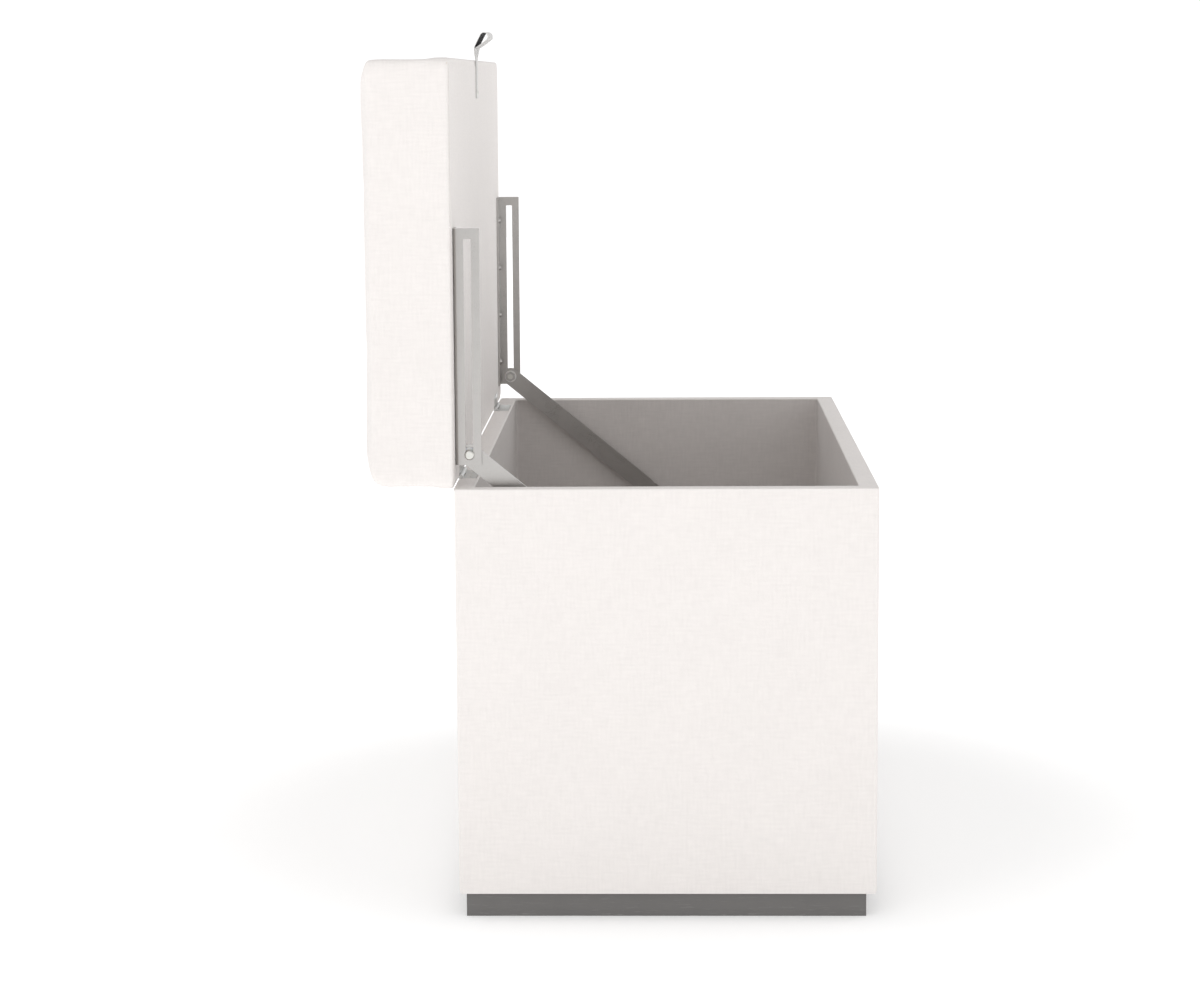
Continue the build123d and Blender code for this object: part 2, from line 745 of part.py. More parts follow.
def tacks(gap=0.0):
    """Two dome-headed tacks that hold the tab's tail."""
    with BuildPart(*tack_places) as group:
        Cylinder(tack_radius + gap, tack_length + gap, align=HANGING)
        if gap == 0:
            Cone(tack_head_radius, tack_head_radius / 2, tack_head_height, align=STANDING)
    return group


save(tacks(), "pull_tab_tacks")
tack_holes = tacks(seat_gap)

with BuildPart() as pull_tab:
    with BuildSketch(Plane.YZ.offset(-tab_width / 2)):
        make_face(teardrop_edges)
        offset(amount=tab_thickness / 2, kind=Kind.ARC)
        with Locations((half_depth - tab_thickness / 2, tab_edge - tab_tail)):
            Rectangle(tab_thickness, tab_tail + tab_neck, align=(Align.CENTER, Align.MIN))
    extrude(amount=tab_width)
    with BuildSketch(Plane.YZ.offset(-tab_width / 2)):
        make_face(teardrop_edges)
        offset(amount=-tab_thickness / 2, mode=Mode.REPLACE)
    extrude(amount=tab_width, mode=Mode.SUBTRACT)
    add(tack_holes.part, mode=Mode.SUBTRACT)
save(pull_tab, "pull_tab")

with lid_board:
    add(tack_holes.part, mode=Mode.SUBTRACT)
save(lid_board, "lid_board")

with underside_cloth:
    add(tack_holes.part, mode=Mode.SUBTRACT)
save(underside_cloth, "underside_cloth")
save(seat_cover, "seat_cover")
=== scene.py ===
# %% [markdown]
# # An upholstered storage bench
#
# The bench is a board box wrapped in off-white woven fabric, on a low dark plinth, with a thick
# padded lid. The lid stands open on two butt hinges and two slotted stays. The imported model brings
# every hard part at its real size. This script keeps those parts where they are, gives each one a
# real finish, and models the soft parts around them. Everything is in metres, X along the bench,
# -Y to its front and Z up.

from math import cos, pi, radians, sin

import bmesh
import bpy
from mathutils import Matrix, Vector, noise


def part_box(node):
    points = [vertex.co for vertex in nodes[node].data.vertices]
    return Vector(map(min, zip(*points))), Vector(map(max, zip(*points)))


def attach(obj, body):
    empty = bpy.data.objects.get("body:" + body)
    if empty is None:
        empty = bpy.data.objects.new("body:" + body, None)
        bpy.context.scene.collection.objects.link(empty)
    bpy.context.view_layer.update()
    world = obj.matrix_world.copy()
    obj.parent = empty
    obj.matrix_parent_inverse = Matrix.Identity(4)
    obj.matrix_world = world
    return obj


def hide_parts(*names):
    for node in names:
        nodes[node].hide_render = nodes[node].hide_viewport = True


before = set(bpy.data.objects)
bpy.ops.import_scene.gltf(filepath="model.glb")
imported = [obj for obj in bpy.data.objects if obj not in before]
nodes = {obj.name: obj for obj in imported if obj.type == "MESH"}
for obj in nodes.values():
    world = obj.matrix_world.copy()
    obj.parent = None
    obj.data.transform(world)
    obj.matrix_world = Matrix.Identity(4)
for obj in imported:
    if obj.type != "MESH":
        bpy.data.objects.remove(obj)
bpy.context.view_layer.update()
bpy.ops.object.select_all(action="DESELECT")

# %% [markdown]
# ## Camera
#
# The bench is seen from its left end, nearly square to the end panel, from a little above the seat.
# A long lens keeps the perspective gentle, so the camera stands about 2.7 m away. The pose is a
# place, a heading, a tilt and a very small roll, and the matrix is built from those.

# %% Camera
CAMERA_PLACE = Vector((-3.109, 0.0001, 0.7957))
CAMERA_HEADING = radians(1.32)
CAMERA_TILT = radians(8.19)
CAMERA_ROLL = radians(-0.367)
LENS_MM = 87.4

camera_data = bpy.data.cameras.new("camera")
camera_data.lens = LENS_MM
camera_data.sensor_width = 36
camera_data.clip_end = 60
camera = bpy.data.objects.new("camera", camera_data)
bpy.context.collection.objects.link(camera)
level = cos(CAMERA_TILT)
looking = Vector((cos(CAMERA_HEADING) * level, sin(CAMERA_HEADING) * level, -sin(CAMERA_TILT)))
upright = looking.to_track_quat("-Z", "Y").to_matrix() @ Matrix.Rotation(CAMERA_ROLL, 3, "Z")
camera.matrix_world = Matrix.Translation(CAMERA_PLACE) @ upright.to_4x4()
bpy.context.scene.camera = camera
bpy.context.scene.view_settings.view_transform = "Standard"
print("camera", [round(v, 3) for v in camera.location])

# %% [markdown]
# ## Shader arithmetic
#
# A pattern such as a weave is a sum on paper, but a dozen Math nodes in Blender. This small class
# wraps one output socket of a node, so that ordinary signs such as + and * add the Math nodes. The
# reflected forms, such as 1 - mask, work too. Any other kind of node comes from one method, which
# sets the node's own settings first and then its sockets. Colours go through Mix, because a Math
# node would turn them grey.


# %% Shader arithmetic
class Value:
    """One output socket of a finish's nodes, usable in ordinary arithmetic."""

    def __init__(self, finish, socket):
        self.finish = finish
        self.socket = socket

    def math(self, operation, *values):
        sockets = {place: value for place, value in enumerate(values)}
        return self.finish.node("ShaderNodeMath", {"operation": operation}, sockets)

    def __add__(self, other):
        return self.math("ADD", self, other)

    def __sub__(self, other):
        return self.math("SUBTRACT", self, other)

    def __rsub__(self, other):
        return self.math("SUBTRACT", other, self)

    def __mul__(self, other):
        return self.math("MULTIPLY", self, other)

    def __pow__(self, other):
        return self.math("POWER", self, other)

    def __gt__(self, other):
        return self.math("GREATER_THAN", self, other)

    def __abs__(self):
        return self.math("ABSOLUTE", self)

    def sine(self):
        return self.math("SINE", self)

    __radd__ = __add__
    __rmul__ = __mul__


class Finish:
    """A new material: a Principled shader, and the nodes that vary it."""

    def __init__(self, name, settings):
        self.material = bpy.data.materials.new(name)
        self.material.use_nodes = True
        self.tree = self.material.node_tree
        self.shader = self.tree.nodes["Principled BSDF"]
        for socket, value in settings.items():
            self.shader.inputs[socket].default_value = value

    def node(self, kind, settings=None, sockets=None, output=0):
        """Any node: its own settings first, then the values or links of its sockets."""
        node = self.tree.nodes.new(kind)
        for setting, value in (settings or {}).items():
            if setting == "stops":
                for place, (position, colour) in enumerate(value):
                    ramp = node.color_ramp.elements
                    stop = ramp[place] if place < len(ramp) else ramp.new(position)
                    stop.position = position
                    stop.color = (*colour, 1)
            else:
                setattr(node, setting, value)
        for name, value in (sockets or {}).items():
            if isinstance(value, Value):
                self.tree.links.new(value.socket, node.inputs[name])
            else:
                node.inputs[name].default_value = value
        return Value(self, node.outputs[output])

    def place(self, along=None):
        """Where a point is: the cloth's own map, or the object's own coordinates."""
        if along:
            return self.node("ShaderNodeUVMap", {"uv_map": along})
        return self.node("ShaderNodeTexCoord", output="Object")

    def axes(self, place):
        """The three numbers of a place."""
        parts = self.tree.nodes.new("ShaderNodeSeparateXYZ")
        self.tree.links.new(place.socket, parts.inputs[0])
        return [Value(self, socket) for socket in parts.outputs]

    def stretched(self, place, scale, turn=(0, 0, 0)):
        """A place turned and then stretched, so that a noise runs long in one direction."""
        return self.node("ShaderNodeMapping", sockets={"Vector": place, "Scale": scale, "Rotation": turn})

    def noise(self, place, scale, detail=2.0, rough=0.5):
        """Soft random patches from 0 to 1, that many to the metre."""
        sockets = {"Vector": place, "Scale": scale, "Detail": detail, "Roughness": rough}
        return self.node("ShaderNodeTexNoise", sockets=sockets)

    def band(self, value, low, high, smooth=True):
        """0 below the low value, 1 above the high one, and a ramp between them."""
        kind = "SMOOTHSTEP" if smooth else "LINEAR"
        sockets = {"Value": value, "From Min": low, "From Max": high}
        return self.node("ShaderNodeMapRange", {"interpolation_type": kind}, sockets)

    def mix(self, share, first, second, blend="MIX"):
        """Between two colours, by a share from 0 to 1."""
        node = self.tree.nodes.new("ShaderNodeMix")
        node.data_type = "RGBA"
        node.blend_type = blend
        for place, value in ((0, share), (6, first), (7, second)):
            if isinstance(value, Value):
                self.tree.links.new(value.socket, node.inputs[place])
            else:
                node.inputs[place].default_value = value if place == 0 else (*value, 1)
        return Value(self, node.outputs[2])

    def colour(self, value):
        self.tree.links.new(value.socket, self.shader.inputs["Base Color"])

    def roughness(self, value):
        self.tree.links.new(value.socket, self.shader.inputs["Roughness"])

    def bump(self, height, distance, strength=1.0):
        sockets = {"Height": height, "Distance": distance, "Strength": strength}
        relief = self.node("ShaderNodeBump", sockets=sockets)
        self.tree.links.new(relief.socket, self.shader.inputs["Normal"])


def grey(level, warm=0.0):
    """A grey of that lightness, with a little more red and less blue."""
    return (level * (1 + warm), level, level * (1 - warm))


# %% [markdown]
# ## Floor and light
#
# The room is a plain pale floor that fades into a white background. The light is an even white
# surround, brighter near the horizon than overhead, and one soft panel over the left end. The faces
# that look at the camera are the brightest, tops are a little darker, and the inside of the box
# falls into shade, deepened by the lining's painted shade. The floor glows as painted light, weakly
# beside the bench, where the weaker glow adds painted shade to its soft contact shadow, and more
# further away, where it has to melt into the white background.

# %% Floor
# The floor's glow is painted light; its dip beside the bench is painted shade.
GLOW_NEAR, GLOW_FAR = 0.25, 0.62
GLOW_START, GLOW_END = 0.36, 0.88
bpy.ops.mesh.primitive_plane_add(size=24, location=(0, 0, 0))
floor = bpy.context.object
floor.name = "floor"
floor_paint = bpy.data.materials.new("pale floor")
floor_paint.use_nodes = True
tree = floor_paint.node_tree
tree.nodes.clear()
diffuse = tree.nodes.new("ShaderNodeBsdfDiffuse")
diffuse.inputs["Color"].default_value = (0.86, 0.86, 0.86, 1)
glow = tree.nodes.new("ShaderNodeEmission")
place = tree.nodes.new("ShaderNodeTexCoord")
distance = tree.nodes.new("ShaderNodeVectorMath")
distance.operation = "LENGTH"
rise = tree.nodes.new("ShaderNodeMapRange")
rise.interpolation_type = "SMOOTHSTEP"
rise.inputs["From Min"].default_value = GLOW_START
rise.inputs["From Max"].default_value = GLOW_END
rise.inputs["To Min"].default_value = GLOW_NEAR
rise.inputs["To Max"].default_value = GLOW_FAR
tree.links.new(place.outputs["Object"], distance.inputs[0])
tree.links.new(distance.outputs["Value"], rise.inputs["Value"])
tree.links.new(rise.outputs["Result"], glow.inputs["Strength"])
both = tree.nodes.new("ShaderNodeAddShader")
end = tree.nodes.new("ShaderNodeOutputMaterial")
tree.links.new(diffuse.outputs[0], both.inputs[0])
tree.links.new(glow.outputs[0], both.inputs[1])
tree.links.new(both.outputs[0], end.inputs["Surface"])
floor.data.materials.append(floor_paint)

# %% Surround and lamp
HORIZON_LIGHT = 1.00
ZENITH_LIGHT = 0.63
BACKGROUND = 1.1
world = bpy.data.worlds.new("surround")
bpy.context.scene.world = world
world.use_nodes = True
tree = world.node_tree
tree.nodes.clear()
place = tree.nodes.new("ShaderNodeTexCoord")
axes = tree.nodes.new("ShaderNodeSeparateXYZ")
fade = tree.nodes.new("ShaderNodeMapRange")
fade.inputs["To Min"].default_value = HORIZON_LIGHT
fade.inputs["To Max"].default_value = ZENITH_LIGHT
path = tree.nodes.new("ShaderNodeLightPath")
strength = tree.nodes.new("ShaderNodeMix")
strength.inputs["B"].default_value = BACKGROUND
surround = tree.nodes.new("ShaderNodeBackground")
end = tree.nodes.new("ShaderNodeOutputWorld")
tree.links.new(place.outputs["Generated"], axes.inputs[0])
tree.links.new(axes.outputs["Z"], fade.inputs["Value"])
tree.links.new(fade.outputs["Result"], strength.inputs["A"])
tree.links.new(path.outputs["Is Camera Ray"], strength.inputs["Factor"])
tree.links.new(strength.outputs["Result"], surround.inputs["Strength"])
tree.links.new(surround.outputs[0], end.inputs["Surface"])
surround.inputs["Color"].default_value = (1, 1, 1, 1)


def lamp(name, place, target, size, power):
    """A rectangular soft light at a place, facing the target."""
    data = bpy.data.lights.new(name, "AREA")
    data.shape = "RECTANGLE"
    data.size, data.size_y = size
    data.energy = power
    data.color = (1.0, 0.99, 0.98)
    light = bpy.data.objects.new(name, data)
    bpy.context.collection.objects.link(light)
    light.location = place
    light.rotation_euler = (Vector(target) - Vector(place)).to_track_quat("-Z", "Y").to_euler()


lamp("side panel", (-3.0, 1.4, 2.0), (-0.4, 0, 0.5), (2.4, 2.0), 12)
lamp("front panel", (-1.2, -2.8, 1.5), (0, 0.2, 0.6), (2.0, 1.6), 2.5)

# %% [markdown]
# ## Woven fabric
#
# The cover is a matte off-white plain weave: each thread goes over one and under the next, so the
# surface is a chequer of small pillows. The product of two sines makes that chequer, and its sign
# says which thread is on top. The hollows between the pillows are painted darker, as shade. Long
# thin noises along each thread give the slubs of a natural yarn, and one large soft noise gives the
# faint cloudiness of a big panel. The pattern reads the cloth's own map, which is in metres, so it
# follows every face at the same size.

# %% Woven fabric
THREAD = 0.0012
WEAVE_MAP = "weave"
OFF_WHITE = (0.885, 0.847, 0.824)
# The lining is the cover's off-white, darkened as painted shade for the inside of the box.
LINING_IN_PAINTED_SHADE = (0.66, 0.625, 0.605)


def woven(name, colour, contrast=0.10, thread=THREAD, relief=0.00016):
    """Plain weave in that colour, with slubs along both threads."""
    cloth = Finish(name, {"Roughness": 0.92, "Sheen Weight": 0.12, "Sheen Roughness": 0.6,
                          "Specular IOR Level": 0.25})
    where = cloth.place(WEAVE_MAP)
    along, across, _ = cloth.axes(where)
    drift = (cloth.noise(where, 60) - 0.5) * (0.9 * thread)
    waves = [((line + drift) * (pi / thread)).sine() for line in (along, across)]
    chequer = waves[0] * waves[1]
    pillow = abs(chequer) ** 0.5
    slub_along = cloth.noise(cloth.stretched(where, (60, 0.55 / thread, 1)), 1, 1)
    slub_across = cloth.noise(cloth.stretched(where, (0.55 / thread, 60, 1)), 1, 1)
    over = chequer > 0
    slub = over * slub_along + (1 - over) * slub_across
    cloud = cloth.noise(where, 14, 3)
    # (1 - pillow) darkens the hollows between the thread pillows as painted shade; the slubs and the cloud
    # are the yarn's own tone.
    shade = (1 - pillow) * 0.35 + (slub - 0.35) * 1.1 + (cloud - 0.5) * 0.3
    light = tuple(min(1.0, channel * 1.015) for channel in colour)
    dark = tuple(channel * (1 - contrast) for channel in colour)
    cloth.colour(cloth.mix(cloth.band(shade, 0.0, 0.9, smooth=False), light, dark))
    cloth.bump(pillow + slub * 0.8 + cloud * 1.5, relief)
    return cloth.material


cover_cloth = woven("off-white woven cover", OFF_WHITE)
lining_cloth = woven("woven lining darkened as painted shade", LINING_IN_PAINTED_SHADE, contrast=0.16)

# %% [markdown]
# ## Other soft finishes
#
# The box is closed underneath with black nonwoven cloth, which is a felt of random fibres with a
# grid of small heat-bonded dots. The pull tab is a light grey tape, woven in a fine rib across its
# width and painted darker in the hollows of its ribs as shade; the inside of its loop gets a
# near-black finish as painted shade. The foam inside the seat is open-celled, with painted shade
# in its open cells.


# %% Other soft finishes
def nonwoven(name, colour):
    """Pressed random fibres with a grid of bonded dots."""
    cloth = Finish(name, {"Roughness": 0.95, "Specular IOR Level": 0.2})
    where = cloth.place(WEAVE_MAP)
    along, across, _ = cloth.axes(where)
    pitch = 0.0032
    dots = abs((along * (pi / pitch)).sine()) * abs((across * (pi / pitch)).sine())
    bonded = cloth.band(dots, 0.80, 0.92)
    fibres = cloth.noise(cloth.stretched(where, (900, 260, 1), (0, 0, 0.5)), 1, 4, 0.7)
    cross_fibres = cloth.noise(cloth.stretched(where, (260, 900, 1), (0, 0, -0.4)), 1, 4, 0.7)
    mat = (fibres + cross_fibres) * 0.5
    light = tuple(channel * 1.8 for channel in colour)
    cloth.colour(cloth.mix(cloth.band(mat, 0.3, 0.7) * (1 - bonded * 0.6), colour, light))
    cloth.bump(mat - bonded * 0.5, 0.00012)
    return cloth.material


def ribbed_tape(name, colour):
    """Narrow woven tape: fine ribs across its width and fine threads along it, painted darker in their
    hollows as shade.
    """
    tape = Finish(name, {"Roughness": 0.8, "Sheen Weight": 0.2, "Specular IOR Level": 0.3})
    where = tape.place(WEAVE_MAP)
    along, across, _ = tape.axes(where)
    rib = abs((along * (pi / 0.0009)).sine())
    yarn = abs((across * (pi / 0.0007)).sine())
    wear = tape.noise(where, 400, 3)
    # The dark end of the mix sits in the rib and thread hollows as painted shade; the wear noise is the
    # tape's own tone.
    dark = tuple(channel * 0.62 for channel in colour)
    tape.colour(tape.mix(tape.band(rib * 0.6 + yarn * 0.2 + wear * 0.4, 0.2, 0.9), dark, colour))
    tape.bump(rib + yarn * 0.4 + wear * 0.3, 0.00012)
    return tape.material


def open_foam(name, colour):
    """Cut polyurethane foam: small open cells in clusters, painted darker in each cell as shade."""
    foam = Finish(name, {"Roughness": 1.0, "Specular IOR Level": 0.15})
    where = foam.place()
    cells = foam.node("ShaderNodeTexVoronoi", {"feature": "F1"}, {"Vector": where, "Scale": 750.0})
    patches = foam.noise(where, 30, 3)
    # Each cell is darkest at its middle, as painted shade in the open pore; the patches are the foam's own
    # tone.
    dark = tuple(channel * 0.6 for channel in colour)
    foam.colour(foam.mix(foam.band(cells + patches * 0.2, 0.15, 0.75), dark, colour))
    foam.bump(cells, 0.0004)
    return foam.material


black_cloth = nonwoven("black nonwoven dust cloth", (0.022, 0.022, 0.023))
grey_tape = ribbed_tape("light grey pull tape", (0.82, 0.81, 0.795))
# A near-black copy of the tape for the inside of the loop, as painted shade.
painted_shade_tape = ribbed_tape("painted shade inside the pull tape loop", (0.045, 0.045, 0.05))
foam = open_foam("cream seat foam", (0.86, 0.80, 0.62))

# %% [markdown]
# ## Board and paint
#
# The boards are raw particle board: flattened wood chips of many tones in a resin, which shows at
# the cut hinge pockets. The plinth is board with a matte dark grey paint, slightly uneven and worn
# lighter by the floor. Both read the object's own coordinates, so they need no map.


# %% Board and paint
def particle_board(name):
    """Pressed wood chips of several tones."""
    board = Finish(name, {"Roughness": 0.85, "Specular IOR Level": 0.3})
    where = board.place()
    chips = board.node("ShaderNodeTexVoronoi", {"feature": "F1"},
                       {"Vector": board.stretched(where, (260, 420, 520), (0.3, 0.2, 0.5)), "Scale": 1.0},
                       output="Color")
    tone = board.node("ShaderNodeRGBToBW", sockets={0: chips})
    grain = board.noise(board.stretched(where, (300, 1400, 1400)), 1, 3)
    stops = [(0.0, (0.34, 0.22, 0.12)), (0.45, (0.60, 0.44, 0.27)), (1.0, (0.78, 0.63, 0.43))]
    board.colour(board.node("ShaderNodeValToRGB", {"stops": stops}, {0: tone * 0.75 + grain * 0.3}))
    board.bump(tone + grain * 0.5, 0.00015)
    return board.material


def plinth_grey(name):
    """Rolled matte paint, rubbed a little lighter in patches and close to the floor."""
    paint = Finish(name, {"Roughness": 0.6, "Specular IOR Level": 0.4})
    where = paint.place()
    z = paint.axes(where)[2]
    orange_peel = paint.noise(where, 900, 2)
    patches = paint.noise(where, 25, 4, 0.6)
    scuffs = paint.noise(paint.stretched(where, (60, 60, 900)), 1, 3, 0.6)
    low = 1 - paint.band(z, 0.0, 0.004)
    rubbed = paint.band(scuffs, 0.58, 0.70) * (low * 0.6 + 0.15)
    base = paint.mix(patches, grey(0.138, 0.03), grey(0.168, 0.03))
    paint.colour(paint.mix(rubbed, base, grey(0.34, 0.03)))
    paint.roughness(paint.band(patches + orange_peel * 0.3, 0.2, 1.2) * 0.25 + 0.5)
    paint.bump(orange_peel + scuffs * 0.3, 0.00008)
    return paint.material


raw_board = particle_board("raw particle board")
plinth_paint = plinth_grey("matte dark grey paint")

# %% [markdown]
# ## Metal and nylon
#
# The stays are pressed steel with a satin grey coat, so the near ones look pale where they face the
# light and the far ones dark. Hinges and screws are zinc plated: brighter, with a faint blue and
# yellow play and fine drawing marks. The washers are natural nylon, which is milky and even.


# %% Metal and nylon
def satin_steel(name, low, high, metallic=0.85, roughness=0.42, marks=(25, 900, 900)):
    """Coated or plated steel with fine drawing marks and soft patches."""
    steel = Finish(name, {"Roughness": roughness, "Metallic": metallic})
    where = steel.place()
    drawn = steel.noise(steel.stretched(where, marks), 1, 3, 0.6)
    patches = steel.noise(where, 45, 4, 0.6)
    pits = steel.noise(where, 1600, 2)
    steel.colour(steel.mix(steel.band(drawn * 0.5 + patches * 0.5, 0.2, 0.8), low, high))
    steel.roughness(steel.band(patches * 0.4 + pits * 0.6, 0.2, 1.0) * 0.10 + (roughness - 0.04))
    steel.bump(drawn * 0.5 + pits, 0.00003)
    return steel.material


def milky_nylon(name):
    """Moulded natural nylon."""
    nylon = Finish(name, {"Roughness": 0.5, "Subsurface Weight": 0.1, "Subsurface Scale": 0.002})
    where = nylon.place()
    flow = nylon.noise(where, 300, 3)
    nylon.colour(nylon.mix(flow, grey(0.70, 0.02), grey(0.80, 0.02)))
    nylon.bump(nylon.noise(where, 1500, 2), 0.00003)
    return nylon.material


stay_steel = satin_steel("satin grey stay steel", grey(0.43, 0.03), grey(0.47, 0.03), 1.0, 0.30)
hinge_steel = satin_steel("zinc hinge steel", (0.52, 0.53, 0.54), (0.66, 0.66, 0.63), 1.0, 0.34)
screw_steel = satin_steel("zinc screw steel", (0.58, 0.58, 0.56), (0.74, 0.73, 0.68), 1.0, 0.30)
white_nylon = milky_nylon("natural nylon")

# %% Finishes on the hard parts
FINISH_BY_NAME = (
    ("_board", raw_board),
    ("plinth_screws", screw_steel),
    ("plinth_blocks", raw_board),
    ("plinth_rail", raw_board),
    ("plinth_", plinth_paint),
    ("stay_bracket", stay_steel),
    ("_screws", screw_steel),
    ("_tacks", screw_steel),
    ("hinge_", hinge_steel),
    ("washers", white_nylon),
    ("bolt", screw_steel),
    ("_nut_", stay_steel),
    ("stay_stud", screw_steel),
    ("stay_", stay_steel),
)
for name, node in nodes.items():
    for part_of_name, finish in FINISH_BY_NAME:
        if part_of_name in name:
            for material_slot in node.material_slots:
                material_slot.material = finish
            break
print("finishes on", len(nodes), "hard parts")

# %% [markdown]
# ## Modelling helpers
#
# Every new piece starts as a primitive at its real size and place, and is then shaped in edit mode.
# Operators act on whatever is selected, so these helpers select only the faces, edges or corners
# that pass a test on their place. Cutting a mesh across with bisect stands in for loop cuts, which
# need a window.


# %% Modelling helpers
def start(name, low, high, kind="cube"):
    """A box or a flat sheet between two corners, ready in edit mode."""
    bpy.ops.object.select_all(action="DESELECT")
    low, high = Vector(low), Vector(high)
    if kind == "cube":
        bpy.ops.mesh.primitive_cube_add(size=1, location=(low + high) / 2, scale=high - low)
    else:
        bpy.ops.mesh.primitive_plane_add(size=1, location=(low + high) / 2)
        bpy.context.object.scale = Vector((high.x - low.x, high.y - low.y, 1))
    piece = bpy.context.object
    piece.name = name
    bpy.ops.object.transform_apply(location=True, rotation=True, scale=True)
    bpy.ops.object.mode_set(mode="EDIT")
    return piece


def pick(kind, test):
    """Select only the faces, edges or corners whose middle passes the test, and say how many."""
    bpy.ops.mesh.select_mode(type=kind)
    bpy.ops.mesh.select_all(action="DESELECT")
    shape = bmesh.from_edit_mesh(bpy.context.object.data)
    count = 0
    if kind == "FACE":
        found = [(face, face.calc_center_median(), face.normal) for face in shape.faces]
    elif kind == "EDGE":
        found = [(edge, (edge.verts[0].co + edge.verts[1].co) / 2,
                  (edge.verts[1].co - edge.verts[0].co).normalized()) for edge in shape.edges]
    else:
        found = [(corner, corner.co, corner.normal) for corner in shape.verts]
    for item, middle, direction in found:
        if test(middle, direction):
            item.select_set(True)
            count += 1
    shape.select_flush_mode()
    bmesh.update_edit_mesh(bpy.context.object.data)
    return count


def cut_across(point, direction):
    """Cut every face that a plane passes through."""
    bpy.ops.mesh.select_all(action="SELECT")
    bpy.ops.mesh.bisect(plane_co=point, plane_no=direction)


def cut_evenly(low, high, step, direction):
    """Parallel cuts between two points, no further apart than the step."""
    low, high = Vector(low), Vector(high)
    count = max(1, round((high - low).length / step))
    for number in range(1, count):
        cut_across(low.lerp(high, number / count), direction)


def remove(kind, test):
    """Delete the faces that pass the test."""
    pick(kind, test)
    bpy.ops.mesh.delete(type=kind)


def done():
    bpy.ops.mesh.select_all(action="DESELECT")
    bpy.ops.object.mode_set(mode="OBJECT")


def modify(piece, kind, **settings):
    """Add one modifier and apply it."""
    modifier = piece.modifiers.new(kind.lower(), kind)
    for setting, value in settings.items():
        setattr(modifier, setting, value)
    bpy.context.view_layer.objects.active = piece
    bpy.ops.object.modifier_apply(modifier=modifier.name)


def outward(piece):
    """Make every face of a closed or open mesh point the same way, outwards."""
    bpy.context.view_layer.objects.active = piece
    bpy.ops.object.mode_set(mode="EDIT")
    bpy.ops.mesh.select_all(action="SELECT")
    bpy.ops.mesh.remove_doubles(threshold=0.00001)
    bpy.ops.mesh.normals_make_consistent(inside=False)
    done()


def lay_weave(piece):
    """Map the cloth in metres, each face seen straight on."""
    mesh = piece.data
    layer = mesh.uv_layers.get(WEAVE_MAP) or mesh.uv_layers.new(name=WEAVE_MAP)
    flat_axes = {0: (1, 2), 1: (0, 2), 2: (0, 1)}
    for face in mesh.polygons:
        facing = max(range(3), key=lambda axis: abs(face.normal[axis]))
        first, second = flat_axes[facing]
        for corner in face.loop_indices:
            place = mesh.vertices[mesh.loops[corner].vertex_index].co
            layer.data[corner].uv = (place[first], place[second])


def hand_over(piece, body, finish, slot, *stands_for):
    """Smooth the piece, give it its finish if it has none and its body, and hide the parts it stands for.
    """
    bpy.ops.object.select_all(action="DESELECT")
    piece.select_set(True)
    bpy.context.view_layer.objects.active = piece
    bpy.ops.object.shade_smooth_by_angle(angle=radians(42))
    if not piece.data.materials:
        piece.data.materials.append(finish)
    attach(piece, body)
    if stands_for:
        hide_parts(*stands_for)
    print(piece.name, len(piece.data.polygons), "faces")


# %% [markdown]
# ## Seat cushion
#
# The lid is a board with a thick foam pad, and the cover is pulled tight over both. It is almost a
# flat slab, but the foam crowns it a little and the sides draw in between the corners. A cloth
# simulation gives that: the closed shape starts slightly small, gets even quads from a voxel
# remesh, and is blown up by pressure while the board side is pinned. How far a point may move is
# capped, and the result is fitted back to the lid's real size. The remesh and the smoothing after it
# melt every edge by a few millimetres, so the rounds start that much smaller.

# %% Seat cushion: the shape
lid_low, lid_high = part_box("seat_cover")
CUSHION_START = lid_low.y + 0.0006
REAR_ROUND, FRONT_ROUND, END_ROUND, BOARD_ROUND = 0.018, 0.012, 0.009, 0.0022
SOFTENING = 0.004
CAP = 0.005
small_low = Vector((lid_low.x, CUSHION_START, lid_low.z))
small_high = Vector((lid_high.x, lid_high.y - CAP, lid_high.z))
cushion = start("seat_cushion", small_low, small_high)


def near(value, target, by=0.0005):
    return abs(value - target) < by


def bevel(width, segments, kind="EDGES"):
    bpy.ops.mesh.bevel(offset=width, segments=segments, affect=kind, clamp_overlap=True)


pick("EDGE", lambda middle, along: near(middle.y, small_high.y) and near(middle.z, small_low.z))
bevel(REAR_ROUND - SOFTENING, 8)
pick("EDGE", lambda middle, along: near(middle.y, small_high.y) and near(middle.z, small_high.z))
bevel(FRONT_ROUND - SOFTENING, 8)
pick("EDGE", lambda middle, along: near(abs(middle.x), small_high.x) and middle.y > small_low.y + 0.001)
bevel(END_ROUND - SOFTENING, 6)
pick("EDGE", lambda middle, along: near(middle.y, small_low.y) and (
    near(abs(middle.x), small_high.x, 0.01) or near(middle.z, small_low.z) or near(middle.z, small_high.z)))
bevel(BOARD_ROUND, 3)
done()
outward(cushion)

# %% Seat cushion: the simulation
VOXEL = 0.006
PIN_DEPTH = 0.016
SIDE_SHARE = 0.35
PRESSURE = 4.0
LAST_FRAME = 20


